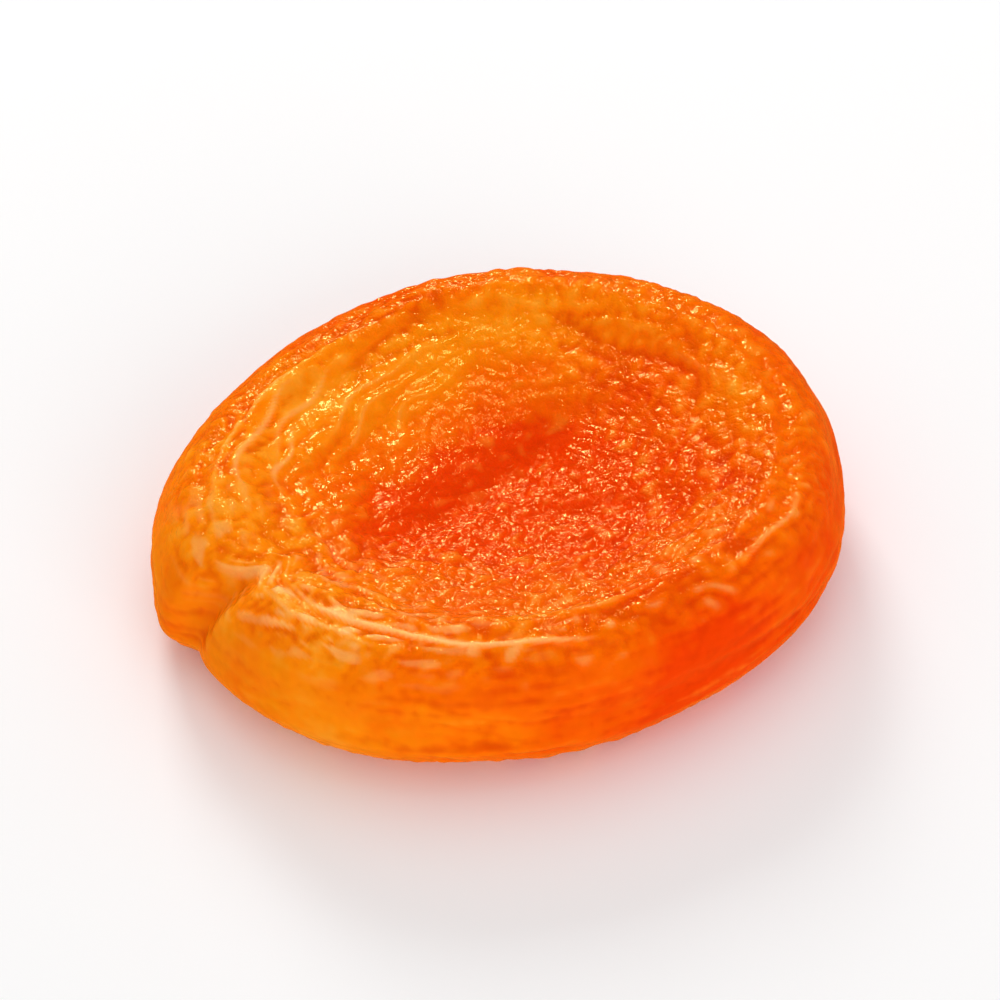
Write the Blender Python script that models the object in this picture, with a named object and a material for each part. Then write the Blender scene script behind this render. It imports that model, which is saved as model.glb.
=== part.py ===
"""A whole pitted apricot, dried flat: a plump rolled rim round a dish on each side.

Run it with: blender --background --python part.py

The fruit lies on its underside. X runs from the stem end to the tip, Z is up, and the origin is
under the middle of its box, on the surface that it lies on.
"""

import math
from typing import NamedTuple

import bmesh
import bpy

MM = 0.001
NAME = "apricot"
COLLECTION = "dried_apricot"

# Outline, seen from above
LENGTH = 42.0 * MM
WIDTH = 36.8 * MM
TIP_TAPER = 0.035
OUTLINE_WAVES = ((2, 0.008, 40.0), (3, 0.012, 205.0), (5, 0.006, 70.0), (7, 0.004, 10.0))

# Section, from the middle of the dish out to the widest line
CREST_SHARE = 0.78
CREST_ABOVE = 5.0 * MM
CREST_BELOW = 4.1 * MM
DISH_ABOVE = 3.1 * MM
DISH_BELOW = 1.9 * MM
DISH_POWER = 1.06
CREST_WAVES = ((1, 0.060, 250.0), (2, 0.105, 75.0), (3, 0.055, 160.0), (5, 0.028, 20.0))
WIDEST_WAVES = ((2, 0.090, 130.0), (3, 0.060, 300.0), (4, 0.035, 60.0))

# Stem end, where the rim opens in a cleft between two lips. The shares say how much of the cleft and
# of the saddle over it is left on the underside, and between which shares of the radius they fade in.
CLEFT_ANGLE = math.pi
CLEFT_DEPTH = 1.8 * MM
CLEFT_WIDTH = 1.15 * MM
CLEFT_SLANT = 0.25
CLEFT_UNDER = 0.30
LIP_STEP = 0.50 * MM
LIP_REACH = 5.0 * MM
SADDLE_DEPTH = 1.1 * MM
SADDLE_WIDTH = 2.6 * MM
SADDLE_UNDER = 0.35
CLEFT_MIDDLE_HEIGHT = 0.55
RIM_FADE_START = 0.45
RIM_FADE_END = 0.85

# Three flats that the soft fruit rests on
FEET_ANGLE = math.radians(35.0)
FEET_DROP = 0.30 * MM
FEET_PRESS = 0.28 * MM

# Mesh: each cube face is cut into this many squares a side. The crest lies this far from the pole on the cut
# cube, and the squares are narrowed by this share at the cleft.
CUTS = 30
CREST_POLAR = math.radians(58.0)
CLEFT_CROWDING = 0.35

# A crease's line wanders a little across the section, and its depth fades in from both ends
CREASE_WANDER = 0.02
CREASE_WANDER_TURNS = 14.0
CREASE_FADE_POWER = 0.6

COLOUR = (0.95, 0.22, 0.012, 1.0)
ROUGHNESS = 0.42


class Crease(NamedTuple):
    """A valley that runs round the fruit between two angles in degrees, at one place across its section.

    across counts 0 in the middle of the dish, 1 on the crest, 2 on the widest line, 3 on the
    underside's crest and 4 in the middle of the underside.
    """

    start: float
    end: float
    across: float
    drift: float
    depth: float
    width: float


CREASES = (
    # Long folds side by side on the rim, left of the stem end's cleft
    Crease(62, 172, 0.86, -0.10, 0.42 * MM, 0.085),
    Crease(84, 176, 1.14, 0.06, 0.34 * MM, 0.090),
    Crease(40, 118, 1.30, 0.14, 0.28 * MM, 0.095),
    Crease(104, 168, 0.62, 0.12, 0.36 * MM, 0.080),
    # The near lip, from the cleft along the front of the rim
    Crease(186, 246, 1.16, 0.16, 0.38 * MM, 0.085),
    Crease(196, 300, 0.86, 0.06, 0.40 * MM, 0.085),
    Crease(236, 330, 0.66, -0.12, 0.26 * MM, 0.080),
    # The tip end
    Crease(300, 392, 1.12, -0.10, 0.30 * MM, 0.090),
    Crease(342, 430, 0.80, 0.08, 0.32 * MM, 0.085),
    # The seam along the outer wall
    Crease(182, 318, 1.98, 0.12, 0.42 * MM, 0.150),
    Crease(66, 178, 2.06, -0.12, 0.40 * MM, 0.150),
    Crease(300, 420, 1.72, 0.10, 0.22 * MM, 0.110),
    # The underside
    Crease(20, 140, 3.20, 0.10, 0.34 * MM, 0.090),
    Crease(130, 232, 3.34, -0.12, 0.36 * MM, 0.085),
    Crease(226, 352, 3.16, 0.12, 0.32 * MM, 0.090),
    Crease(300, 400, 3.48, -0.08, 0.34 * MM, 0.080),
    Crease(186, 270, 2.66, 0.12, 0.26 * MM, 0.090),
    Crease(10, 96, 2.70, -0.10, 0.26 * MM, 0.090),
)


class Pucker(NamedTuple):
    """A short valley in the middle of a dish, straight in plan."""

    side: int
    x: float
    y: float
    angle: float
    length: float
    width: float
    depth: float


PUCKERS = (
    Pucker(1, -1.0 * MM, 0.6 * MM, 14.0, 7.5 * MM, 1.5 * MM, 0.85 * MM),
    Pucker(1, 4.2 * MM, 2.6 * MM, 48.0, 3.6 * MM, 1.1 * MM, 0.45 * MM),
    Pucker(1, -7.0 * MM, 3.0 * MM, 62.0, 3.8 * MM, 1.1 * MM, 0.40 * MM),
    Pucker(1, 3.0 * MM, -4.6 * MM, -28.0, 4.2 * MM, 1.2 * MM, 0.35 * MM),
    Pucker(-1, 1.0 * MM, -0.5 * MM, -12.0, 8.0 * MM, 1.5 * MM, 0.70 * MM),
    Pucker(-1, -5.0 * MM, 3.4 * MM, 40.0, 4.0 * MM, 1.2 * MM, 0.45 * MM),
    Pucker(-1, 6.0 * MM, -3.0 * MM, 72.0, 3.6 * MM, 1.1 * MM, 0.40 * MM),
)


def clear_scene():
    """Empties the scene of what a new file starts with."""
    for thing in list(bpy.data.objects):
        bpy.data.objects.remove(thing, do_unlink=True)


def waves(theta, terms):
    """Sum of cosines round the fruit, each given as count, share and angle in degrees."""
    return sum(share * math.cos(count * theta - math.radians(angle)) for count, share, angle in terms)


def outline_radius(theta):
    """Distance from the middle to the widest line, an oval that narrows to the tip."""
    half_length = LENGTH / 2
    half_width = WIDTH / 2
    oval = half_length * half_width / math.hypot(
        half_width * math.cos(theta), half_length * math.sin(theta)
    )
    return oval * (1 - TIP_TAPER * math.cos(theta) * math.sin(theta) ** 2 + waves(theta, OUTLINE_WAVES))


def section(polar):
    """Shares of the radius, of the crest's height and of the dish's depth, at an angle from the pole."""
    if polar < CREST_POLAR:
        share = polar / CREST_POLAR
        return CREST_SHARE * share, 1.0, (1 - share * share) ** DISH_POWER
    turn = (polar - CREST_POLAR) / (math.pi / 2 - CREST_POLAR) * math.pi / 2
    return CREST_SHARE + (1 - CREST_SHARE) * math.sin(turn), math.cos(turn), 0.0


def across_section(polar, side):
    """Place across the section, from 0 in the middle of the dish to 4 under it."""
    if polar < CREST_POLAR:
        place = polar / CREST_POLAR
    else:
        place = 1 + (polar - CREST_POLAR) / (math.pi / 2 - CREST_POLAR)
    return place if side > 0 else 4 - place


def angle_from(theta, centre):
    """Signed angle from centre to theta, from minus pi to pi."""
    return (theta - centre + math.pi) % (2 * math.pi) - math.pi


def bell(value, width):
    """Bell curve of height 1."""
    return math.exp(-((value / width) ** 2))


def smooth_step(value):
    """Goes smoothly from 0 at 0 to 1 at 1."""
    value = min(1.0, max(0.0, value))
    return value * value * (3 - 2 * value)


def body_point(theta, polar, side):
    """A point of the plain body: oval, rolled rim and dishes, with the cleft and saddle at the stem end."""
    radius_share, rise, dish = section(polar)
    radius = outline_radius(theta)
    if side > 0:
        crest = CREST_ABOVE * (1 + waves(theta, CREST_WAVES) * radius_share ** 2)
        height = crest * rise - DISH_ABOVE * dish
    else:
        crest = CREST_BELOW + FEET_DROP * math.cos(3 * (theta - FEET_ANGLE)) * radius_share ** 3
        height = DISH_BELOW * dish - crest * rise
    height += CREST_ABOVE * waves(theta, WIDEST_WAVES) * (1 - rise)

    aside = angle_from(theta, CLEFT_ANGLE) * radius * radius_share - CLEFT_SLANT * height
    at_rim = smooth_step((radius_share - RIM_FADE_START) / (RIM_FADE_END - RIM_FADE_START))
    above = CLEFT_UNDER + (1 - CLEFT_UNDER) * smooth_step(CLEFT_MIDDLE_HEIGHT + height / CREST_ABOVE)
    cleft = CLEFT_DEPTH * bell(aside, CLEFT_WIDTH) * at_rim * above
    step = LIP_STEP * math.tanh(aside / CLEFT_WIDTH) * bell(aside, LIP_REACH) * at_rim
    saddle = SADDLE_DEPTH * bell(aside, SADDLE_WIDTH) * at_rim * rise * (1 if side > 0 else SADDLE_UNDER)

    reach = radius * radius_share - cleft - step
    return reach * math.cos(theta), reach * math.sin(theta), height - saddle * side


def crease_depth(theta, across):
    """Depth of all the creases at a place on the skin."""
    degrees = math.degrees(theta) % 360
    depth = 0.0
    for crease in CREASES:
        for turned in (degrees, degrees + 360):
            along = (turned - crease.start) / (crease.end - crease.start)
            if 0 < along < 1:
                wander = CREASE_WANDER * math.sin(CREASE_WANDER_TURNS * along + crease.start)
                line = crease.across + crease.drift * (along - 0.5) + wander
                fade = math.sin(math.pi * along) ** CREASE_FADE_POWER
                depth += crease.depth * fade * bell(across - line, crease.width)
    return depth


def pucker_depth(x, y, side):
    """Depth of the short valleys in the middle of the dishes."""
    depth = 0.0
    for pucker in PUCKERS:
        if pucker.side == side:
            turn = math.radians(pucker.angle)
            along = (x - pucker.x) * math.cos(turn) + (y - pucker.y) * math.sin(turn)
            aside = (y - pucker.y) * math.cos(turn) - (x - pucker.x) * math.sin(turn)
            depth += pucker.depth * bell(along, pucker.length) * bell(aside, pucker.width)
    return depth


def spherical(vertex):
    """Angle round Z, angle from the nearer pole, and side, of a vertex on the cut cube."""
    x, y, z = (math.tan(value * math.pi / 4) for value in vertex.co)
    side = 1 if z >= 0 else -1
    theta = math.atan2(y, x)
    return theta + CLEFT_CROWDING * math.sin(theta), math.atan2(math.hypot(x, y), abs(z)), side


def shape_fruit(mesh):
    """Turns a cube of side 2, cut into small squares, into the fruit's skin."""
    places = {vertex: spherical(vertex) for vertex in mesh.verts}
    for vertex, (theta, polar, side) in places.items():
        vertex.co = body_point(theta, polar, side)
    mesh.normal_update()

    depths = {}
    for vertex, (theta, polar, side) in places.items():
        depths[vertex] = crease_depth(theta, across_section(polar, side))
        depths[vertex] += pucker_depth(vertex.co.x, vertex.co.y, side)
    for vertex, depth in depths.items():
        vertex.co -= vertex.normal * depth


def rest_on_surface(mesh):
    """Centres the fruit on the origin and presses its lowest parts flat on the surface under it."""
    columns = list(zip(*(vertex.co for vertex in mesh.verts)))
    middle_x = (min(columns[0]) + max(columns[0])) / 2
    middle_y = (min(columns[1]) + max(columns[1])) / 2
    floor = min(columns[2]) + FEET_PRESS
    for vertex in mesh.verts:
        vertex.co.x -= middle_x
        vertex.co.y -= middle_y
        vertex.co.z = max(0.0, vertex.co.z - floor)


def skin_material():
    """Glossy orange skin."""
    material = bpy.data.materials.new("apricot_skin")
    material.use_nodes = True
    shader = material.node_tree.nodes["Principled BSDF"]
    shader.inputs["Base Color"].default_value = COLOUR
    shader.inputs["Roughness"].default_value = ROUGHNESS
    shader.inputs["Metallic"].default_value = 0.0
    return material


def build_fruit(collection):
    """Makes the fruit as one closed body."""
    mesh = bmesh.new()
    bmesh.ops.create_cube(mesh, size=2.0)
    bmesh.ops.subdivide_edges(mesh, edges=mesh.edges[:], cuts=CUTS - 1, use_grid_fill=True)
    shape_fruit(mesh)
    rest_on_surface(mesh)
    bmesh.ops.triangulate(mesh, faces=mesh.faces[:], quad_method="SHORT_EDGE")

    data = bpy.data.meshes.new(NAME)
    mesh.to_mesh(data)
    mesh.free()
    data.shade_smooth()
    data.materials.append(skin_material())
    collection.objects.link(bpy.data.objects.new(NAME, data))


def main():
    clear_scene()
    collection = bpy.data.collections.new(COLLECTION)
    bpy.context.scene.collection.children.link(collection)
    build_fruit(collection)


main()
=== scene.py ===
"""Looks of a whole pitted apricot, dried flat: its wrinkled, half-translucent skin, on white in soft light.

The finer skin repeats the main form of the part's source, from the same named values, and adds the folds and
wrinkles that a dried skin has. Everything is in metres, with Z up and the stem end at -X.
"""

import logging
import math
from dataclasses import dataclass, field
from enum import Enum
from typing import Any

import bpy
import numpy as np
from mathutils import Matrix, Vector


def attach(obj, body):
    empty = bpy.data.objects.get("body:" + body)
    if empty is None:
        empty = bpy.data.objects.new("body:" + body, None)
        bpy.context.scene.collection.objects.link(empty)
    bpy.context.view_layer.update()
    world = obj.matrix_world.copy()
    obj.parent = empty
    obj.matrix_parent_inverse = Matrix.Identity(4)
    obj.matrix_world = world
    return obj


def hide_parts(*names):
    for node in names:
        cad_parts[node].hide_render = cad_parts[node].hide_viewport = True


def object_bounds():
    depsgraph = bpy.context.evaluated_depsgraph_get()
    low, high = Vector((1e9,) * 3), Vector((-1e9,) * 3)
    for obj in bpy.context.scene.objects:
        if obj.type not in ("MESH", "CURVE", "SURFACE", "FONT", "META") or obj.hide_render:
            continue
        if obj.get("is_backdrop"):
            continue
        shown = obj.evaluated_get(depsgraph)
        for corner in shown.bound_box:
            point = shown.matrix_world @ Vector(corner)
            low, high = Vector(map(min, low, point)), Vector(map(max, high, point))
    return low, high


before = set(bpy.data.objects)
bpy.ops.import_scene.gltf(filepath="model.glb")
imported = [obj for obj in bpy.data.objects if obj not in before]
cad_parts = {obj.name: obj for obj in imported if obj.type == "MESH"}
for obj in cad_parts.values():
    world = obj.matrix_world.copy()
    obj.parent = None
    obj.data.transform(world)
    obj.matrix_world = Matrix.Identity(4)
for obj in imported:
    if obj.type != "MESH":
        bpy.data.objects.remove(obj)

LOG = logging.getLogger("dried_apricot")
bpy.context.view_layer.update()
MM = 0.001
TURN = 2 * math.pi

# Place across the section of the middle of the underside, where the middle of the upper dish is 0.
BOTTOM = 4

# Size of a noise table, a power of 2, and the highest and middle heights of a rounded hump.
TABLE = 256
HUMP_TOP = 1.2
HUMP_MIDDLE = 0.5

Array = np.ndarray
Socket = bpy.types.NodeSocket
Range = tuple[float, float, float, float]
RANGE_INPUTS = ("From Min", "From Max", "To Min", "To Max")

# Sockets of a Mix node that mixes colours.
MIX_SHARE, MIX_FIRST, MIX_SECOND, MIX_RESULT = 0, 6, 7, 2


class Role(Enum):
    """What a studio light does: it lights the fruit and the floor, or it shows only as glints on the skin."""

    SHADE = "shade"
    GLINT = "glint"


class Side(Enum):
    """The two dished faces of the fruit."""

    ABOVE = 1
    BELOW = -1


@dataclass(frozen=True)
class Wave:
    """One cosine round the fruit: how often it swings, how far, and the angle in degrees of its phase."""

    count: int
    share: float
    angle: float


@dataclass(frozen=True)
class Crease:
    """A valley that runs round the fruit between two angles in degrees, at one place across its section.

    across counts 0 in the middle of the dish, 1 on the crest, 2 on the widest line, 3 on the underside's
    crest and 4 in the middle of the underside. drift is how far the valley goes across on its way.
    """

    start: float
    end: float
    across: float
    drift: float
    depth: float
    width: float


@dataclass(frozen=True)
class Pucker:
    """A short valley in the middle of a dish, straight in plan."""

    side: Side
    x: float
    y: float
    angle: float
    length: float
    width: float
    depth: float


@dataclass(frozen=True)
class Patch:
    """A soft-edged patch of skin: middle and spread, round the fruit in degrees and across its section."""

    angle: float
    spread: float
    across: float
    width: float


@dataclass(frozen=True)
class Wrinkles:
    """A field of wrinkles: their spacing across and along their run, how high they stand, and their seed.

    sway is how far a slow push moves them aside, counted in wrinkles. lift is how much they count in how far
    up its wrinkle a place is.
    """

    spacing: float
    run: float
    height: float
    sway: float
    lift: float
    seed: int


@dataclass(frozen=True)
class DryingAndHighlight:
    """How hump tops are painted pale, as dry skin and as a painted highlight: how much at most, the height
    where it starts and the rise that it takes.
    """

    most: float
    start: float
    rise: float

    def at(self, hump: Array) -> Array:
        """How pale each place is painted, as dry skin and painted highlight, by how high it stands on its
        hump.
        """
        return self.most * smooth_step((hump - self.start) / self.rise)


@dataclass(frozen=True)
class Redness:
    """What each area adds to how red the flesh looks, from 0, amber, to 1, ember, with painted shade in the
    hollow and painted light on the smooth slope.
    """

    base: float = 0.18
    tip: float = 0.33
    tip_wall: float = 0.24
    # Painted shade: the hollow is painted redder, partly for the shade that falls in it.
    hollow_shade: float = 0.68
    ramp: float = 0.22
    low_wall: float = 0.09
    # Painted light: the smooth far slope, which faces the light, is painted amber.
    smooth_slope: float = -0.62
    lips: float = -0.14


def smooth_step(value: Array) -> Array:
    """Goes smoothly from 0 at 0 to 1 at 1."""
    value = np.clip(value, 0.0, 1.0)
    return value * value * (3 - 2 * value)


def bell(value: Array, width: float) -> Array:
    """Bell curve of height 1."""
    return np.exp(-((value / width) ** 2))


def waves(theta: Array, terms: tuple[Wave, ...]) -> Array:
    """Sum of cosines round the fruit."""
    return sum(term.share * np.cos(term.count * theta - math.radians(term.angle)) for term in terms)


def angle_from(theta: Array, centre: float) -> Array:
    """Signed angle from centre to theta, from minus pi to pi."""
    return (theta - centre + math.pi) % TURN - math.pi


def rounded_humps(value: Array, softness: float, span: float) -> Array:
    """Turns noise into rounded humps with narrow valleys between them, from about -0.4 to 0.7."""
    return np.clip(np.hypot(value, softness) / span, 0.0, HUMP_TOP) - HUMP_MIDDLE


class GradientNoise:
    """Smooth noise in space, one feature a unit, from a seeded table of directions."""

    def __init__(self, seed: int) -> None:
        """Draws the table.

        Args:
            seed: picks the table, so that the same seed always gives the same noise.
        """
        draw = np.random.default_rng(seed)
        self.order = draw.permutation(TABLE)
        directions = draw.normal(size=(TABLE, 3))
        self.directions = directions / np.linalg.norm(directions, axis=1, keepdims=True)

    def corner(self, cell: Array, offset: Array) -> Array:
        """Value that one corner of each point's cell gives.

        Args:
            cell: whole-number corner of the lattice, one row a point.
            offset: from that corner to the point.

        Returns:
            One value a point.
        """
        pick = self.order[cell[:, 0] % TABLE]
        pick = self.order[(pick + cell[:, 1]) % TABLE]
        pick = self.order[(pick + cell[:, 2]) % TABLE]
        return np.einsum("ij,ij->i", self.directions[pick], offset)

    def at(self, points: Array) -> Array:
        """Noise at points.

        Args:
            points: one row of three coordinates a point, in features.

        Returns:
            One value a point, mostly between -0.6 and 0.6.
        """
        cell = np.floor(points).astype(np.int64)
        part = points - cell
        fade = part**3 * (part * (part * 6 - 15) + 10)
        total = np.zeros(len(points))
        for step in np.ndindex(2, 2, 2):
            weight = np.ones(len(points))
            for axis, high in enumerate(step):
                weight *= fade[:, axis] if high else 1 - fade[:, axis]
            total += weight * self.corner(cell + np.array(step), part - np.array(step))
        return total


def noise(seed: int, points: Array) -> Array:
    """Smooth noise of one seed at points that are given in features."""
    return GradientNoise(seed).at(points)


@dataclass
class Relief:
    """Fine wrinkles at each vertex: height in metres, how far up its wrinkle it is and how pale it is
    painted, as dry skin and painted highlight, 0 to 1.
    """

    height: Array
    up: Array
    dry_and_highlight: Array


@dataclass
class Skin:
    """Where each vertex lies on the fruit's skin, in the fruit's own coordinates."""

    theta: Array
    polar: Array
    side: Array
    across: Array
    points: Array = field(default_factory=lambda: np.zeros((0, 3)))


@dataclass
class DriedApricot:
    """The whole fruit, as one skin that closes round it."""

    name: str = "apricot_skin"
    node: str = "apricot"
    body: str = "root"
    slot: str = "skin"

    length: float = 42.0 * MM
    width: float = 36.8 * MM
    tip_taper: float = 0.035
    outline_waves: tuple[Wave, ...] = (
        Wave(2, 0.008, 40.0), Wave(3, 0.012, 205.0), Wave(5, 0.006, 70.0), Wave(7, 0.004, 10.0),
    )

    crest_share: float = 0.78
    crest_above: float = 5.0 * MM
    crest_below: float = 4.1 * MM
    dish_above: float = 3.1 * MM
    dish_below: float = 1.9 * MM
    dish_power: float = 1.06
    crest_waves: tuple[Wave, ...] = (
        Wave(1, 0.060, 250.0), Wave(2, 0.105, 75.0), Wave(3, 0.055, 160.0), Wave(5, 0.028, 20.0),
    )
    widest_waves: tuple[Wave, ...] = (Wave(2, 0.090, 130.0), Wave(3, 0.060, 300.0), Wave(4, 0.035, 60.0))

    cleft_angle: float = math.pi
    cleft_depth: float = 1.8 * MM
    cleft_width: float = 1.15 * MM
    cleft_slant: float = 0.25
    cleft_under: float = 0.30
    cleft_middle_height: float = 0.55
    lip_step: float = 0.50 * MM
    lip_reach: float = 5.0 * MM
    saddle_depth: float = 1.1 * MM
    saddle_width: float = 2.6 * MM
    saddle_under: float = 0.35
    rim_fade_start: float = 0.45
    rim_fade_end: float = 0.85

    feet_count: int = 3
    feet_angle: float = math.radians(35.0)
    feet_drop: float = 0.30 * MM
    feet_press: float = 0.28 * MM

    crease_wander: float = 0.02
    crease_wander_turns: float = 14.0
    crease_fade_power: float = 0.6
    creases: tuple[Crease, ...] = (
        Crease(62, 172, 0.86, -0.10, 0.42 * MM, 0.085),
        Crease(84, 176, 1.14, 0.06, 0.34 * MM, 0.090),
        Crease(40, 118, 1.30, 0.14, 0.28 * MM, 0.095),
        Crease(104, 168, 0.62, 0.12, 0.36 * MM, 0.080),
        Crease(186, 246, 1.16, 0.16, 0.38 * MM, 0.085),
        Crease(196, 300, 0.86, 0.06, 0.40 * MM, 0.085),
        Crease(236, 330, 0.66, -0.12, 0.26 * MM, 0.080),
        Crease(300, 392, 1.12, -0.10, 0.30 * MM, 0.090),
        Crease(342, 430, 0.80, 0.08, 0.32 * MM, 0.085),
        Crease(182, 318, 1.98, 0.12, 0.42 * MM, 0.150),
        Crease(66, 178, 2.06, -0.12, 0.40 * MM, 0.150),
        Crease(300, 420, 1.72, 0.10, 0.22 * MM, 0.110),
        Crease(20, 140, 3.20, 0.10, 0.34 * MM, 0.090),
        Crease(130, 232, 3.34, -0.12, 0.36 * MM, 0.085),
        Crease(226, 352, 3.16, 0.12, 0.32 * MM, 0.090),
        Crease(300, 400, 3.48, -0.08, 0.34 * MM, 0.080),
        Crease(186, 270, 2.66, 0.12, 0.26 * MM, 0.090),
        Crease(10, 96, 2.70, -0.10, 0.26 * MM, 0.090),
    )
    puckers: tuple[Pucker, ...] = (
        Pucker(Side.ABOVE, -1.0 * MM, 0.6 * MM, 14.0, 7.5 * MM, 1.5 * MM, 0.85 * MM),
        Pucker(Side.ABOVE, 4.2 * MM, 2.6 * MM, 48.0, 3.6 * MM, 1.1 * MM, 0.45 * MM),
        Pucker(Side.ABOVE, -7.0 * MM, 3.0 * MM, 62.0, 3.8 * MM, 1.1 * MM, 0.40 * MM),
        Pucker(Side.ABOVE, 3.0 * MM, -4.6 * MM, -28.0, 4.2 * MM, 1.2 * MM, 0.35 * MM),
        Pucker(Side.BELOW, 1.0 * MM, -0.5 * MM, -12.0, 8.0 * MM, 1.5 * MM, 0.70 * MM),
        Pucker(Side.BELOW, -5.0 * MM, 3.4 * MM, 40.0, 4.0 * MM, 1.2 * MM, 0.45 * MM),
        Pucker(Side.BELOW, 6.0 * MM, -3.0 * MM, 72.0, 3.6 * MM, 1.1 * MM, 0.40 * MM),
    )

    cut_rounds: tuple[int, ...] = (31, 3)
    crest_polar: float = math.radians(62.0)
    cleft_crowding: float = 0.35

    folds: Wrinkles = Wrinkles(1.40 * MM, 7.0 * MM, 0.20 * MM, sway=0.25, lift=0.40, seed=11)
    pebbles: Wrinkles = Wrinkles(0.90 * MM, 1.4 * MM, 0.17 * MM, sway=0.55, lift=0.55, seed=23)
    grain: Wrinkles = Wrinkles(0.50 * MM, 0.5 * MM, 0.06 * MM, sway=0.60, lift=0.20, seed=31)
    streaks: Wrinkles = Wrinkles(0.60 * MM, 8.0 * MM, 0.12 * MM, sway=0.40, lift=0.50, seed=47)
    gathers: Wrinkles = Wrinkles(0.64 * MM, 2.4 * MM, 0.26 * MM, sway=0.50, lift=0.70, seed=59)
    swells: Wrinkles = Wrinkles(5.50 * MM, 5.5 * MM, 0.26 * MM, sway=0.0, lift=0.0, seed=18)

    push_size: float = 2.6 * MM
    push_seeds: tuple[int, ...] = (24, 25, 26)
    row_turn: float = math.radians(16.0)
    fading_size: float = 7.0 * MM
    fading_seed: int = 19
    fading_middle: float = 0.55
    fading_contrast: float = 1.6
    faded_streak: float = 0.4
    groove_push: float = 1.3
    groove_width: float = 0.13
    groove_across: float = 0.95
    groove_reach: float = 0.42
    hump_softness: float = 0.05
    pebble_span: float = 0.40
    gather_span: float = 0.35

    lips: Patch = Patch(202.0, 28.0, 1.18, 0.30)
    smooth_slope: Patch = Patch(95.0, 63.0, 0.64, 0.36)
    ramp: Patch = Patch(165.0, 34.0, 0.45, 0.22)
    near_rim: Patch = Patch(262.0, 50.0, 1.16, 0.28)
    wall_start: float = 1.26
    wall_start_lips: float = 0.30
    wall_start_near: float = 0.15
    wall_blend: float = 0.45

    # How much each area smooths the wrinkles on it, from 0 to 1, and what is left of them there.
    slope_calm: float = 0.75
    slope_groove_calm: float = 0.50
    lips_calm: float = 0.60
    wall_calm: float = 0.80
    wall_bump_calm: float = 0.85
    wall_swell_calm: float = 0.60
    wall_grooves: float = 0.35
    least_grain: float = 0.30

    # Pale tops: dry skin on the lips, partly a painted highlight, and a painted highlight on the near rim's
    # humps and on the ridges' tops.
    lips_dry_and_highlight: DryingAndHighlight = DryingAndHighlight(0.80, 0.02, 0.45)
    near_rim_highlight: DryingAndHighlight = DryingAndHighlight(0.55, 0.22, 0.40)
    ridge_highlight_start: float = 0.10 * MM
    ridge_highlight_rise: float = 0.16 * MM
    middle_height: float = 0.5

    redness: Redness = Redness()
    hollow_start: float = 0.15
    hollow_blend: float = 0.85
    low_wall_start: float = 1.2
    low_wall_blend: float = 0.5
    tip_start: float = -0.92
    tip_blend: float = 1.1

    # Raised ridges, whose tops are also painted pale as a painted highlight.
    ridge_highlight_paleness: float = 2.4 / MM
    ridges: tuple[Crease, ...] = (
        Crease(202, 262, 1.20, 0.20, 0.27 * MM, 0.030),
        Crease(185, 236, 1.12, 0.12, 0.20 * MM, 0.028),
        Crease(184, 222, 1.27, 0.08, 0.18 * MM, 0.028),
        Crease(226, 292, 0.98, 0.14, 0.13 * MM, 0.034),
        Crease(288, 328, 1.26, 0.05, 0.16 * MM, 0.030),
        Crease(112, 176, 0.95, -0.05, 0.17 * MM, 0.018),
        Crease(100, 158, 0.88, -0.09, 0.15 * MM, 0.017),
        Crease(104, 168, 1.04, 0.06, 0.17 * MM, 0.018),
        Crease(124, 170, 0.81, -0.06, 0.15 * MM, 0.017),
        Crease(76, 150, 0.75, -0.10, 0.13 * MM, 0.018),
        Crease(84, 158, 0.66, -0.12, 0.12 * MM, 0.018),
        Crease(70, 136, 0.58, -0.14, 0.11 * MM, 0.018),
        Crease(92, 146, 0.50, -0.14, 0.10 * MM, 0.019),
        Crease(330, 400, 0.88, -0.05, 0.11 * MM, 0.024),
        Crease(24, 84, 0.92, 0.06, 0.10 * MM, 0.020),
    )

    def outline_radius(self, theta: Array) -> Array:
        """Distance from the middle to the widest line, an oval that narrows to the tip.

        Args:
            theta: angle round Z of each vertex.

        Returns:
            One distance a vertex.
        """
        half_length = self.length / 2
        half_width = self.width / 2
        oval = half_length * half_width / np.hypot(half_width * np.cos(theta), half_length * np.sin(theta))
        taper = self.tip_taper * np.cos(theta) * np.sin(theta) ** 2
        return oval * (1 - taper + waves(theta, self.outline_waves))

    def locate(self, cube: Array) -> Skin:
        """Finds where on the skin each vertex of a cut cube goes.

        Args:
            cube: vertices of a cube of side 2.

        Returns:
            The angle round Z, the angle from the nearer pole, the side and the place across the section.
        """
        x, y, z = np.tan(cube * math.pi / 4).T
        side = np.where(z >= 0, 1, -1)
        polar = np.arctan2(np.hypot(x, y), np.abs(z))
        in_dish = polar / self.crest_polar
        on_wall = 1 + (polar - self.crest_polar) / (math.pi / 2 - self.crest_polar)
        place = np.where(polar < self.crest_polar, in_dish, on_wall)
        theta = np.arctan2(y, x)
        theta += self.cleft_crowding * np.sin(theta)
        return Skin(theta, polar, side, np.where(side > 0, place, BOTTOM - place))

    def section(self, polar: Array) -> tuple[Array, Array, Array]:
        """Shares of the radius, of the crest's height and of the dish's depth.

        Args:
            polar: angle from the nearer pole.

        Returns:
            The three shares.
        """
        in_dish = polar < self.crest_polar
        share = np.where(in_dish, polar / self.crest_polar, 1.0)
        past_crest = (polar - self.crest_polar) / (math.pi / 2 - self.crest_polar)
        turn = np.where(in_dish, 0.0, past_crest * math.pi / 2)
        on_wall = self.crest_share + (1 - self.crest_share) * np.sin(turn)
        reach = np.where(in_dish, self.crest_share * share, on_wall)
        return reach, np.where(in_dish, 1.0, np.cos(turn)), (1 - share * share) ** self.dish_power

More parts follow.
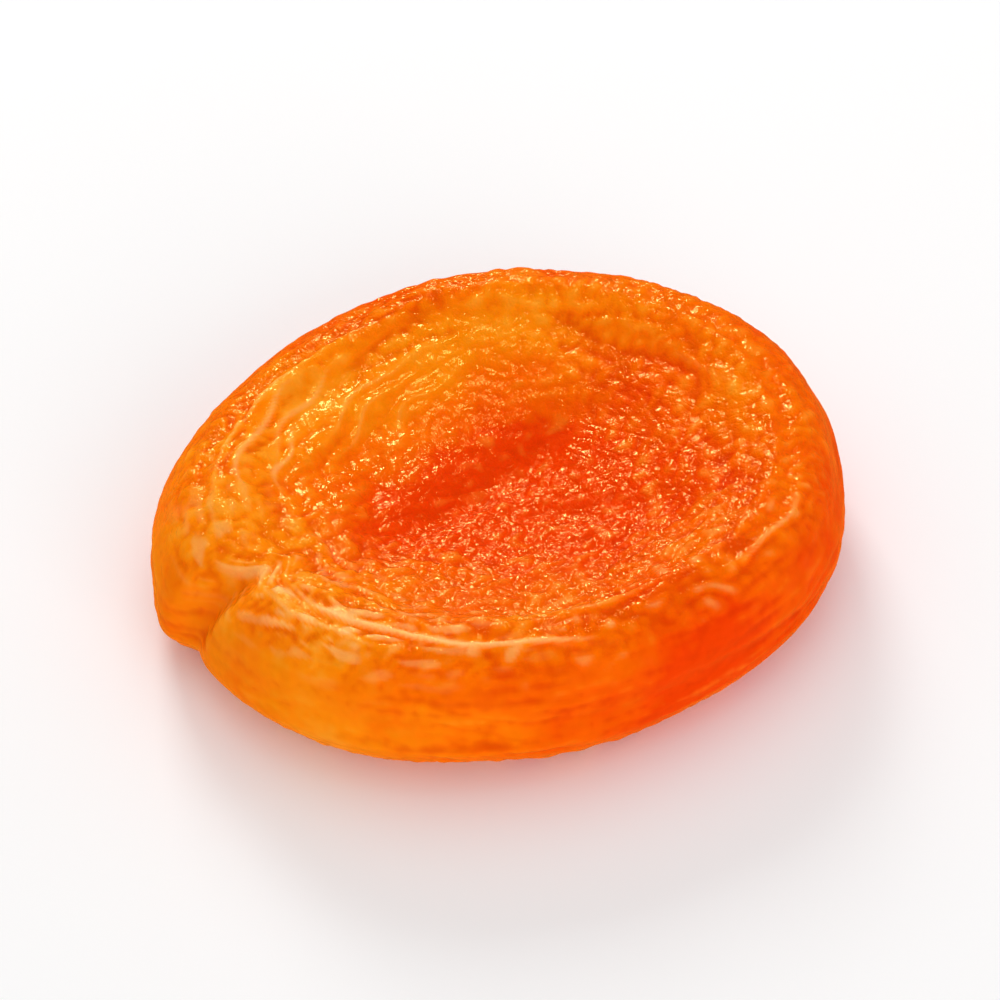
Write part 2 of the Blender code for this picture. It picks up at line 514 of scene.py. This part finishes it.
    def body_points(self, skin: Skin) -> Array:
        """Points of the plain body: oval, rolled rim and dishes, with the cleft and saddle at the stem end.

        Args:
            skin: where each vertex lies.

        Returns:
            One point a vertex.
        """
        reach_share, rise, dish = self.section(skin.polar)
        radius = self.outline_radius(skin.theta)
        above = skin.side > 0
        crest_above = self.crest_above * (1 + waves(skin.theta, self.crest_waves) * reach_share**2)
        feet = self.feet_drop * np.cos(self.feet_count * (skin.theta - self.feet_angle)) * reach_share**3
        height = np.where(
            above,
            crest_above * rise - self.dish_above * dish,
            self.dish_below * dish - (self.crest_below + feet) * rise,
        )
        height += self.crest_above * waves(skin.theta, self.widest_waves) * (1 - rise)

        aside = angle_from(skin.theta, self.cleft_angle) * radius * reach_share - self.cleft_slant * height
        fade = (reach_share - self.rim_fade_start) / (self.rim_fade_end - self.rim_fade_start)
        at_rim = smooth_step(fade)
        open_share = smooth_step(self.cleft_middle_height + height / self.crest_above)
        open_share = self.cleft_under + (1 - self.cleft_under) * open_share
        cleft = self.cleft_depth * bell(aside, self.cleft_width) * at_rim * open_share
        step = self.lip_step * np.tanh(aside / self.cleft_width) * bell(aside, self.lip_reach) * at_rim
        saddle = self.saddle_depth * bell(aside, self.saddle_width) * at_rim * rise
        saddle *= np.where(above, 1.0, self.saddle_under)

        reach = radius * reach_share - cleft - step
        return np.stack(
            [reach * np.cos(skin.theta), reach * np.sin(skin.theta), height - saddle * skin.side], axis=1
        )

    def crease_depth(self, skin: Skin, creases: tuple[Crease, ...]) -> Array:
        """Depth of long creases at each place on the skin.

        Args:
            skin: where each vertex lies.
            creases: the creases.

        Returns:
            One depth a vertex.
        """
        degrees = np.degrees(skin.theta) % 360
        depth = np.zeros(len(degrees))
        for crease in creases:
            for turned in (degrees, degrees + 360):
                along = np.clip((turned - crease.start) / (crease.end - crease.start), 0.0, 1.0)
                wander = self.crease_wander * np.sin(self.crease_wander_turns * along + crease.start)
                line = crease.across + crease.drift * (along - 0.5) + wander
                fade = np.abs(np.sin(math.pi * along)) ** self.crease_fade_power
                depth += crease.depth * fade * bell(skin.across - line, crease.width)
        return depth

    def pucker_depth(self, skin: Skin) -> Array:
        """Depth of the short valleys in the middle of the dishes.

        Args:
            skin: where each vertex lies.

        Returns:
            One depth a vertex.
        """
        x, y = skin.points[:, 0], skin.points[:, 1]
        depth = np.zeros(len(x))
        for pucker in self.puckers:
            turn = math.radians(pucker.angle)
            along = (x - pucker.x) * math.cos(turn) + (y - pucker.y) * math.sin(turn)
            aside = (y - pucker.y) * math.cos(turn) - (x - pucker.x) * math.sin(turn)
            valley = pucker.depth * bell(along, pucker.length) * bell(aside, pucker.width)
            depth += np.where(skin.side == pucker.side.value, valley, 0.0)
        return depth

    def edge(self, skin: Skin) -> Array:
        """Place across the section, counted alike above and below: 1 on a crest and 2 on the widest line."""
        return np.minimum(skin.across, BOTTOM - skin.across)

    def share(self, skin: Skin, patch: Patch) -> Array:
        """How much of each place lies in a patch of the skin, from 0 to 1."""
        beside = angle_from(skin.theta, math.radians(patch.angle))
        return bell(beside, math.radians(patch.spread)) * bell(self.edge(skin) - patch.across, patch.width)

    def wall(self, skin: Skin) -> Array:
        """How much of each place lies on the smooth outer wall, which starts lower at the lips and near rim.

        Args:
            skin: where each vertex lies.

        Returns:
            One share a vertex.
        """
        start = self.wall_start + self.wall_start_lips * self.share(skin, self.lips)
        start += self.wall_start_near * self.share(skin, self.near_rim)
        return smooth_step((self.edge(skin) - start) / self.wall_blend)

    def push_aside(self, skin: Skin) -> Array:
        """Slow push along three axes, which keeps wrinkles from running straight."""
        return np.stack([noise(seed, skin.points / self.push_size) for seed in self.push_seeds], axis=1)

    def fading(self, skin: Skin) -> Array:
        """How much of the folds and streaks is there at each place, as they come and go."""
        slow = noise(self.fading_seed, skin.points / self.fading_size)
        return smooth_step(self.fading_middle + self.fading_contrast * slow)

    def in_strips(self, skin: Skin, kind: Wrinkles) -> Array:
        """Place of each vertex in a field of wrinkles that run level round the fruit, counted in wrinkles."""
        arc = self.section_length(skin.across)
        return np.hstack([arc[:, None] / kind.spacing, skin.points[:, :2] / kind.run])

    def groove(self, skin: Skin, push: Array, swell: Array) -> Array:
        """Long folds round the rim, which follow the slow swells.

        Args:
            skin: where each vertex lies.
            push: the slow sideways push.
            swell: the slow swells.

        Returns:
            One depth a vertex, from 0 to 1.
        """
        place = self.in_strips(skin, self.folds) + self.folds.sway * push
        place[:, 0] += self.groove_push * swell
        return bell(noise(self.folds.seed, place), self.groove_width) * self.fading(skin)

    def pebble(self, skin: Skin, push: Array) -> Array:
        """Small humps in rows along the fruit."""
        place = skin.points @ self.row_axes() + self.pebbles.sway * push
        return rounded_humps(noise(self.pebbles.seed, place), self.hump_softness, self.pebble_span)

    def streak(self, skin: Skin, push: Array) -> Array:
        """Fine streaks round the outer wall.

        Args:
            skin: where each vertex lies.
            push: the slow sideways push.

        Returns:
            One height a vertex, mostly between -0.6 and 0.6.
        """
        place = self.in_strips(skin, self.streaks) + self.streaks.sway * push
        there = self.faded_streak + (1 - self.faded_streak) * self.fading(skin)
        return noise(self.streaks.seed, place) * there

    def gather(self, skin: Skin, push: Array) -> Array:
        """Gathers beside the cleft, which run along the rim.

        Args:
            skin: where each vertex lies.
            push: the slow sideways push.

        Returns:
            One height a vertex, from about -0.4 to 0.7.
        """
        arc = self.section_length(skin.across)
        beside_cleft = angle_from(skin.theta, self.cleft_angle) * (self.length / 2)
        place = np.stack([arc / self.gathers.spacing, beside_cleft / self.gathers.run, skin.side / 2], axis=1)
        place += self.gathers.sway * push
        return rounded_humps(noise(self.gathers.seed, place), self.hump_softness, self.gather_span)

    def wrinkle(self, skin: Skin) -> Relief:
        """Fine wrinkles of the skin.

        Args:
            skin: where each vertex lies.

        Returns:
            What the wrinkles give each vertex.
        """
        wall, slope, lips = self.wall(skin), self.share(skin, self.smooth_slope), self.share(skin, self.lips)
        push = self.push_aside(skin)
        swell = noise(self.swells.seed, skin.points / self.swells.spacing)
        grain = noise(self.grain.seed, skin.points / self.grain.spacing + self.grain.sway * push)
        pebble = self.pebble(skin, push)
        gather = self.gather(skin, push)
        raised = self.crease_depth(skin, self.ridges)

        pebbled = (1 - self.slope_calm * slope) * (1 - self.wall_calm * wall) * (1 - self.lips_calm * lips)
        grooved = bell(self.edge(skin) - self.groove_across, self.groove_reach)
        grooved = grooved * (1 - self.slope_groove_calm * slope) + self.wall_grooves * wall
        height = raised + self.grain.height * (self.least_grain + (1 - self.least_grain) * pebbled) * grain
        # How far up its wrinkle a place is drives the painted highlight on crests, the painted shade in
        # valleys and thinner flesh on tops.
        up = self.middle_height + self.ridge_highlight_paleness * raised + self.grain.lift * grain
        for kind, share, hump in (
            (self.swells, 1 - self.wall_swell_calm * wall, swell),
            (self.folds, grooved, -self.groove(skin, push, swell)),
            (self.pebbles, pebbled, pebble),
            (self.streaks, wall, self.streak(skin, push)),
            (self.gathers, lips, gather),
        ):
            height += kind.height * share * hump
            up += kind.lift * share * hump

        # Pale dry skin on the lips, partly a painted highlight, and painted highlights on the near rim's
        # humps and the ridges' tops.
        dry_and_highlight = lips * self.lips_dry_and_highlight.at(gather)
        dry_and_highlight += self.share(skin, self.near_rim) * self.near_rim_highlight.at(pebble)
        dry_and_highlight += np.maximum(raised - self.ridge_highlight_start, 0.0) / self.ridge_highlight_rise
        return Relief(height, np.clip(up, 0.0, 1.0), np.clip(dry_and_highlight, 0.0, 1.0))

    def row_axes(self) -> Array:
        """Axes that stretch the pebbles into rows along the fruit, slightly turned.

        Returns:
            A matrix that takes a point in metres to its place in pebbles.
        """
        sine, cosine = math.sin(self.row_turn), math.cos(self.row_turn)
        turned = np.array([[cosine, -sine, 0], [sine, cosine, 0], [0, 0, 1]])
        return turned / np.array([self.pebbles.run, self.pebbles.spacing, self.pebbles.spacing])

    def section_length(self, across: Array) -> Array:
        """Length along the section from the middle of the dish.

        Args:
            across: place of each vertex across the section.

        Returns:
            One length a vertex, in metres.
        """
        dish = self.crest_share * (self.length + self.width) / 4
        wall = math.pi / 4 * (self.crest_above + (1 - self.crest_share) * (self.length + self.width) / 4)
        return np.interp(across, [0, 1, BOTTOM - 1, BOTTOM], [0, dish, dish + 2 * wall, 2 * dish + 2 * wall])

    def build(self) -> bpy.types.Object:
        """Makes the skin, finishes it and puts it on its body.

        Returns:
            The finished piece.
        """
        deselect_all()
        bpy.ops.mesh.primitive_cube_add(size=2.0)
        piece = bpy.context.object
        piece.name = self.name
        piece.data.name = self.name
        bpy.ops.object.mode_set(mode="EDIT")
        bpy.ops.mesh.select_all(action="SELECT")
        for cuts in self.cut_rounds:
            bpy.ops.mesh.subdivide(number_cuts=cuts)
        bpy.ops.object.mode_set(mode="OBJECT")

        skin = self.locate(read_vectors(piece.data.vertices, "co"))
        skin.points = self.body_points(skin)
        write_points(piece.data, skin.points)
        depth = self.crease_depth(skin, self.creases) + self.pucker_depth(skin)
        skin.points = skin.points - read_vectors(piece.data.vertices, "normal") * depth[:, None]
        self.centre(skin)
        write_points(piece.data, skin.points)

        relief = self.wrinkle(skin)
        normals = read_vectors(piece.data.vertices, "normal")
        skin.points = skin.points + normals * relief.height[:, None]
        skin.points[:, 2] = np.maximum(skin.points[:, 2], 0.0)
        write_points(piece.data, skin.points)

        self.record_attributes(piece.data, skin, relief)
        piece.data.shade_smooth()
        piece.data.materials.append(DriedApricotSkin().material())
        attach(piece, self.body)
        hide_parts(self.node)
        return piece

    def centre(self, skin: Skin) -> None:
        """Centres the fruit on the origin, with its lowest parts pressed below the surface it lies on.

        Args:
            skin: where each vertex lies, whose points are moved.
        """
        low, high = skin.points.min(axis=0), skin.points.max(axis=0)
        skin.points[:, :2] -= (low[:2] + high[:2]) / 2
        skin.points[:, 2] -= low[2] + self.feet_press

    def redness_of(self, skin: Skin) -> Array:
        """How red the flesh looks: amber where it is thin, with painted light where it faces the light, and
        ember where it is thick, with painted shade in the hollow.

        Args:
            skin: where each vertex lies.

        Returns:
            One value a vertex, about 0 to 1.
        """
        edge, add = self.edge(skin), self.redness
        hollow_shade = 1 - smooth_step((edge - self.hollow_start) / self.hollow_blend)
        low_wall = smooth_step((edge - self.low_wall_start) / self.low_wall_blend)
        tipward = smooth_step((skin.points[:, 0] / (self.length / 2) - self.tip_start) / self.tip_blend)
        # The hollow's term is partly painted shade and the smooth slope's term is painted light.
        red = add.base + (add.tip + add.tip_wall * low_wall) * tipward + add.hollow_shade * hollow_shade
        red += add.ramp * self.share(skin, self.ramp) + add.low_wall * low_wall
        red += add.smooth_slope * self.share(skin, self.smooth_slope)
        return red + add.lips * self.share(skin, self.lips)

    def record_attributes(self, mesh: bpy.types.Mesh, skin: Skin, relief: Relief) -> None:
        """Keeps on the mesh what the material reads of the skin's form, and where light and shade are
        painted.

        Args:
            mesh: the skin's mesh.
            skin: where each vertex lies.
            relief: its fine wrinkles.
        """
        bumpy = 1 - self.slope_calm * self.share(skin, self.smooth_slope)
        bumpy *= 1 - self.wall_bump_calm * self.wall(skin)
        # The redness carries painted shade in the hollow and painted light on the smooth slope, and the pale
        # tops carry dry skin and painted highlights.
        layers = {"flesh_and_painted_light": self.redness_of(skin), "relief": relief.up, "pebbled": bumpy, "dry_and_highlight": relief.dry_and_highlight}
        for name, values in layers.items():
            layer = mesh.attributes.new(name, "FLOAT", "POINT")
            layer.data.foreach_set("value", values.astype(np.float32))


def deselect_all() -> None:
    """Deselects all, so that the next operator acts on its own piece alone."""
    for thing in bpy.context.selected_objects:
        thing.select_set(False)


def read_vectors(things: Any, name: str) -> Array:
    """Reads a vector property of a mesh's elements.

    Args:
        things: the elements.
        name: the property's name.

    Returns:
        One row an element.
    """
    values = np.empty(len(things) * 3, np.float32)
    things.foreach_get(name, values)
    return values.reshape(-1, 3).astype(float)


def write_points(mesh: bpy.types.Mesh, points: Array) -> None:
    """Moves a mesh's vertices."""
    mesh.vertices.foreach_set("co", points.astype(np.float32).ravel())
    mesh.update()


def linear(colour: str) -> tuple[float, float, float, float]:
    """Turns an sRGB hex colour linear.

    Args:
        colour: such as #F07810.

    Returns:
        Linear red, green, blue and alpha.
    """
    parts = [int(colour[place:place + 2], 16) / 255 for place in (1, 3, 5)]
    values = [part / 12.92 if part <= 0.04045 else ((part + 0.055) / 1.055) ** 2.4 for part in parts]
    return values[0], values[1], values[2], 1.0


def add_node(tree: bpy.types.NodeTree, kind: str, settings: dict[str, Any] | None = None,
             inputs: dict[str, Any] | None = None) -> bpy.types.Node:
    """Adds a node with its settings and inputs.

    Args:
        tree: the material's node tree.
        kind: the node's type name.
        settings: values of the node's own properties.
        inputs: for each input, by name or number, a value or the socket that it is linked from.

    Returns:
        The new node.
    """
    node = tree.nodes.new(kind)
    for key, value in (settings or {}).items():
        setattr(node, key, value)
    for key, value in (inputs or {}).items():
        if isinstance(value, bpy.types.NodeSocket):
            tree.links.new(value, node.inputs[key])
        else:
            node.inputs[key].default_value = value
    return node


@dataclass(frozen=True)
class DriedApricotSkin:
    """Sulphured apricot skin, dried in the sun: amber and half-translucent, with a sticky satin gloss.

    The eye sees light that has gone into the flesh and come out amber where the fruit is thin, and red-orange
    in the hollows, where it has gone further. The colour adds painted light where the fruit faces the light
    and painted shade in the hollows.
    """

    name: str = "sulphured_apricot_skin_dried"

    # Colour of the flesh from the thinnest to the thickest, each with its place on that scale.
    depths: tuple[tuple[float, str], ...] = (
        (0.0, "#FF9A1E"), (0.14, "#FF8A06"), (0.46, "#FA6A00"), (0.92, "#F03A00"),
    )
    # Painted highlight on the wrinkles' crests.
    crest_highlight: str = "#FF9E2E"
    # Painted shade, multiplied into the wrinkles' valleys.
    valley: str = "#E8BE60"
    # Pale dry skin, partly a painted highlight.
    dry_and_highlight: str = "#FFCC86"
    gloss: str = "#FFDF9E"
    ior: float = 1.44

    # How far light goes in, and the shares of that for red, green and blue.
    glow_weight: float = 0.75
    glow_depth: float = 1.2 * MM
    glow_shares: tuple[float, float, float] = (1.0, 0.30, 0.06)

    blotch_size: float = 6.0 * MM
    blotch_strength: float = 1.0
    mottle_size: float = 1.4 * MM
    cloud_detail: float = 2.0
    cloud_roughness: float = 0.6
    wrinkle_thinness: float = 0.40
    dry_and_highlight_strength: float = 0.80

    # What a value of the relief or the mottle turns to: from its lowest and highest, to these two.
    # Painted highlight on the wrinkles' crests.
    crest_share: Range = (0.55, 0.95, 0.0, 0.32)
    # Painted shade in the wrinkles' valleys.
    valley_shade_share: Range = (0.12, 0.42, 0.75, 0.0)
    shade: Range = (0.3, 0.7, 0.96, 1.03)
    roughness: Range = (0.3, 0.7, 0.10, 0.19)

    # The cells and pores of real skin are under 0.1 mm. They are drawn coarser, to show in the render.
    cell_size: float = 0.55 * MM
    bend_size: float = 1.3 * MM
    bend: float = 0.8 * MM
    pore_size: float = 0.22 * MM
    pore_detail: float = 1.0
    pore_strength: float = 0.45
    bump_height: float = 0.11 * MM

    def material(self) -> bpy.types.Material:
        """Makes the skin's material.

        Returns:
            The new material.
        """
        material = bpy.data.materials.new(self.name)
        material.use_nodes = True
        tree = material.node_tree
        place = add_node(tree, "ShaderNodeTexCoord").outputs["Object"]
        form = {}
        for name in ("flesh_and_painted_light", "relief", "pebbled", "dry_and_highlight"):
            form[name] = add_node(tree, "ShaderNodeAttribute", {"attribute_name": name}).outputs["Fac"]
        mottle = add_node(tree, "ShaderNodeTexNoise", inputs={
            "Vector": place, "Scale": 1 / self.mottle_size,
            "Detail": self.cloud_detail, "Roughness": self.cloud_roughness}).outputs["Fac"]
        rough = add_node(tree, "ShaderNodeMapRange", inputs={
            "Value": mottle, **dict(zip(RANGE_INPUTS, self.roughness))}).outputs[0]

        shader = tree.nodes["Principled BSDF"]
        tree.links.new(self.colour(tree, place, form, mottle), shader.inputs["Base Color"])
        tree.links.new(rough, shader.inputs["Roughness"])
        tree.links.new(self.bumps(tree, place, form["pebbled"]), shader.inputs["Normal"])
        shader.inputs["Metallic"].default_value = 0.0
        shader.inputs["IOR"].default_value = self.ior
        shader.inputs["Specular Tint"].default_value = linear(self.gloss)
        shader.subsurface_method = "BURLEY"
        shader.inputs["Subsurface Weight"].default_value = self.glow_weight
        shader.inputs["Subsurface Radius"].default_value = self.glow_shares
        shader.inputs["Subsurface Scale"].default_value = self.glow_depth
        return material

    def thickness(self, tree: bpy.types.NodeTree, place: Socket, form: dict[str, Socket]) -> Socket:
        """Says how thick the flesh looks, with painted shade in the hollow and painted light on the smooth
        slope, unevenly, and thinner on the wrinkles' tops.

        Args:
            tree: the material's node tree.
            place: where each point is on the fruit.
            form: what the mesh says of the skin's form, by name.

        Returns:
            A value from 0 to 1.
        """
        blotches = add_node(tree, "ShaderNodeTexNoise", inputs={
            "Vector": place, "Scale": 1 / self.blotch_size,
            "Detail": self.cloud_detail, "Roughness": self.cloud_roughness}).outputs["Fac"]
        uneven = add_node(tree, "ShaderNodeMath", {"operation": "MULTIPLY_ADD"}, {
            0: blotches, 1: self.blotch_strength, 2: -self.blotch_strength / 2}).outputs[0]
        blotched = add_node(tree, "ShaderNodeMath", {"operation": "ADD"}, {
            0: form["flesh_and_painted_light"], 1: uneven}).outputs[0]
        wrinkled = add_node(tree, "ShaderNodeMath", {"operation": "MULTIPLY_ADD"}, {
            0: form["relief"], 1: -self.wrinkle_thinness, 2: self.wrinkle_thinness / 2}).outputs[0]
        return add_node(tree, "ShaderNodeMath", {"operation": "ADD", "use_clamp": True}, {
            0: blotched, 1: wrinkled}).outputs[0]

    def colour(self, tree: bpy.types.NodeTree, place: Socket, form: dict[str, Socket],
               mottle: Socket) -> Socket:
        """Colours the flesh, paints highlights on the wrinkles' crests and shade in their valleys, and paints
        pale dry skin that is partly a painted highlight.

        Args:
            tree: the material's node tree.
            place: where each point is on the fruit.
            form: what the mesh says of the skin's form, by name.
            mottle: a fine uneven cloud.

        Returns:
            The skin's colour.
        """
        ramp = add_node(tree, "ShaderNodeValToRGB", inputs={"Fac": self.thickness(tree, place, form)})
        stops = ramp.color_ramp.elements
        stops[0].position, stops[1].position = self.depths[0][0], self.depths[-1][0]
        for position, _ in self.depths[1:-1]:
            stops.new(position)
        for stop, (_, colour) in zip(stops, self.depths):
            stop.color = linear(colour)

        # Painted highlight: the wrinkles' crests are lightened.
        crest_share = add_node(tree, "ShaderNodeMapRange", inputs={
            "Value": form["relief"], **dict(zip(RANGE_INPUTS, self.crest_share))}).outputs[0]
        body = add_node(tree, "ShaderNodeMix", {"data_type": "RGBA"}, {
            MIX_SHARE: crest_share, MIX_FIRST: ramp.outputs["Color"],
            MIX_SECOND: linear(self.crest_highlight)}).outputs[MIX_RESULT]
        # Painted shade: the wrinkles' valleys are darkened by how low they lie.
        valley_shade_share = add_node(tree, "ShaderNodeMapRange", inputs={
            "Value": form["relief"], **dict(zip(RANGE_INPUTS, self.valley_shade_share))}).outputs[0]
        body = add_node(tree, "ShaderNodeMix", {"data_type": "RGBA", "blend_type": "MULTIPLY"}, {
            MIX_SHARE: valley_shade_share, MIX_FIRST: body, MIX_SECOND: linear(self.valley)}).outputs[MIX_RESULT]
        # Pale dry skin, partly a painted highlight, on the lips, the near rim and the ridges.
        dry_and_highlight_share = add_node(tree, "ShaderNodeMath", {"operation": "MULTIPLY"}, {
            0: form["dry_and_highlight"], 1: self.dry_and_highlight_strength}).outputs[0]
        body = add_node(tree, "ShaderNodeMix", {"data_type": "RGBA"}, {
            MIX_SHARE: dry_and_highlight_share, MIX_FIRST: body, MIX_SECOND: linear(self.dry_and_highlight)}).outputs[MIX_RESULT]
        shade = add_node(tree, "ShaderNodeMapRange", inputs={
            "Value": mottle, **dict(zip(RANGE_INPUTS, self.shade))}).outputs[0]
        return add_node(tree, "ShaderNodeMix", {"data_type": "RGBA", "blend_type": "MULTIPLY"}, {
            MIX_SHARE: 1.0, MIX_FIRST: body, MIX_SECOND: shade}).outputs[MIX_RESULT]

    def bumps(self, tree: bpy.types.NodeTree, place: Socket, strength: Socket) -> Socket:
        """Adds bent cells with pores on them.

        Args:
            tree: the material's node tree.
            place: where each point is on the fruit.
            strength: how bumpy each place is, from 0 to 1.

        Returns:
            The bumpy normal.
        """
        bent = add_node(tree, "ShaderNodeTexNoise", inputs={
            "Vector": place, "Scale": 1 / self.bend_size, "Detail": 0.0}).outputs["Color"]
        bent_place = add_node(tree, "ShaderNodeVectorMath", {"operation": "MULTIPLY_ADD"}, {
            0: bent, 1: (self.bend, self.bend, self.bend), 2: place}).outputs[0]
        cells = add_node(tree, "ShaderNodeTexVoronoi", {"feature": "F1"}, {
            "Vector": bent_place, "Scale": 1 / self.cell_size}).outputs["Distance"]
        pores = add_node(tree, "ShaderNodeTexNoise", inputs={
            "Vector": place, "Scale": 1 / self.pore_size,
            "Detail": self.pore_detail, "Roughness": self.cloud_roughness}).outputs["Fac"]
        grain = add_node(tree, "ShaderNodeMath", {"operation": "MULTIPLY"}, {
            0: pores, 1: self.pore_strength}).outputs[0]
        fine = add_node(tree, "ShaderNodeMath", {"operation": "SUBTRACT"}, {0: grain, 1: cells}).outputs[0]
        return add_node(tree, "ShaderNodeBump", inputs={
            "Strength": strength, "Distance": self.bump_height, "Height": fine}).outputs["Normal"]


@dataclass(frozen=True)
class MattWhiteCard:
    """Uncoated white card. The eye sees an even, matt white that takes soft shadows and mirrors nothing."""

    name: str = "matt_white_card"
    colour: str = "#FCFCFC"
    roughness: float = 0.9
    specular_level: float = 0.1

    def material(self) -> bpy.types.Material:
        """Makes the card's material.

        Returns:
            The new material.
        """
        material = bpy.data.materials.new(self.name)
        material.use_nodes = True
        shader = material.node_tree.nodes["Principled BSDF"]
        shader.inputs["Base Color"].default_value = linear(self.colour)
        shader.inputs["Roughness"].default_value = self.roughness
        shader.inputs["Specular IOR Level"].default_value = self.specular_level
        return material


@dataclass(frozen=True)
class Softbox:
    """A square light that faces the fruit.

    azimuth and elevation say in degrees where it stands, the azimuth counted as the camera's. size is its
    side in metres and power is in watts.
    """

    name: str
    role: Role
    azimuth: float
    elevation: float
    size: float
    power: float


@dataclass
class Studio:
    """White floor, soft lights, the room round them and the camera."""

    azimuth: float = -30.0
    elevation: float = 42.0
    lens: float = 150.0
    frame_share: float = 0.70
    floor_size: float = 1.4

    softboxes: tuple[Softbox, ...] = (
        Softbox("top_softbox", Role.SHADE, 155.0, 70.0, 0.50, 0.5),
        Softbox("back_softbox", Role.SHADE, 165.0, 28.0, 0.18, 1.5),
        Softbox("front_softbox", Role.SHADE, -5.0, 18.0, 0.45, 1.4),
        Softbox("back_glint", Role.GLINT, 156.0, 27.0, 0.10, 1.15),
        Softbox("high_glint", Role.GLINT, 144.0, 60.0, 0.08, 0.50),
    )
    light_distance: float = 0.6
    room_light: float = 0.60
    white: str = "#FFFFFF"
    glint: str = "#FFD890"
    mirrored: str = "#FF8A2A"
    backdrop: str = "#FAF8F6"

    def floor(self) -> None:
        """Adds the floor, which the skin's gloss doesn't mirror."""
        deselect_all()
        bpy.ops.mesh.primitive_plane_add(size=self.floor_size)
        floor = bpy.context.object
        floor.name = "studio_floor"
        floor.visible_glossy = False
        floor.data.materials.append(MattWhiteCard().material())
        floor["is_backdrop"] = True

    def light(self, softbox: Softbox) -> None:
        """Adds a light.

        Args:
            softbox: what it does, where it stands, and its size and power.
        """
        glints = softbox.role is Role.GLINT
        data = bpy.data.lights.new(softbox.name, "AREA")
        data.shape = "SQUARE"
        data.size = softbox.size
        data.energy = softbox.power
        data.color = linear(self.glint if glints else self.white)[:3]
        lamp = bpy.data.objects.new(softbox.name, data)
        bpy.context.scene.collection.objects.link(lamp)
        lamp.visible_glossy = glints
        lamp.visible_diffuse = not glints
        lamp.location = self.direction(softbox.azimuth, softbox.elevation) * self.light_distance
        lamp.rotation_euler = lamp.location.to_track_quat("Z", "Y").to_euler()

    def direction(self, azimuth: float, elevation: float) -> Vector:
        """Unit vector from the fruit at an azimuth and elevation in degrees."""
        turn, lift = math.radians(azimuth), math.radians(elevation)
        return Vector((math.sin(turn) * math.cos(lift), -math.cos(turn) * math.cos(lift), math.sin(lift)))

    def camera(self) -> None:
        """Camera at the photograph's angle, level, with the fruit across the same share of the frame."""
        data = bpy.data.cameras.new("camera")
        data.lens = self.lens
        camera = bpy.data.objects.new("camera", data)
        bpy.context.scene.collection.objects.link(camera)
        low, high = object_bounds()
        middle = (low + high) / 2
        back = self.direction(self.azimuth, self.elevation)
        turn = math.radians(self.azimuth)
        half_spans = Vector((high.x * math.cos(turn), high.y * math.sin(turn)))
        distance = 2 * half_spans.length / self.frame_share * self.lens / data.sensor_width
        camera.location = middle + back * distance
        camera.rotation_euler = back.to_track_quat("Z", "Y").to_euler()
        bpy.context.scene.camera = camera

    def surroundings(self) -> None:
        """Even white room with a pale backdrop, which the skin's gloss mirrors as warm light."""
        world = bpy.data.worlds.new("white_room")
        bpy.context.scene.world = world
        world.use_nodes = True
        tree = world.node_tree
        rays = add_node(tree, "ShaderNodeLightPath")
        room = tree.nodes["Background"]
        room.inputs["Color"].default_value = linear(self.white)
        room.inputs["Strength"].default_value = self.room_light
        for ray, colour in (("Is Glossy Ray", self.mirrored), ("Is Camera Ray", self.backdrop)):
            seen = add_node(tree, "ShaderNodeBackground", inputs={"Color": linear(colour), "Strength": 1.0})
            room = add_node(tree, "ShaderNodeMixShader", inputs={
                0: rays.outputs[ray], 1: room.outputs[0], 2: seen.outputs[0]})
        tree.links.new(room.outputs[0], tree.nodes["World Output"].inputs["Surface"])

    def build(self) -> None:
        """Sets the floor, the lights, the surroundings and the camera."""
        self.floor()
        for softbox in self.softboxes:
            self.light(softbox)
        self.surroundings()
        bpy.context.scene.view_settings.view_transform = "Standard"
        self.camera()


def main() -> None:
    """Builds the fruit and its surroundings, and reports each piece."""
    logging.basicConfig(level=logging.INFO, format="%(message)s")
    piece = DriedApricot().build()
    LOG.info("%s: %d faces", piece.name, len(piece.data.polygons))
    Studio().build()


if __name__ == "__main__":
    main()
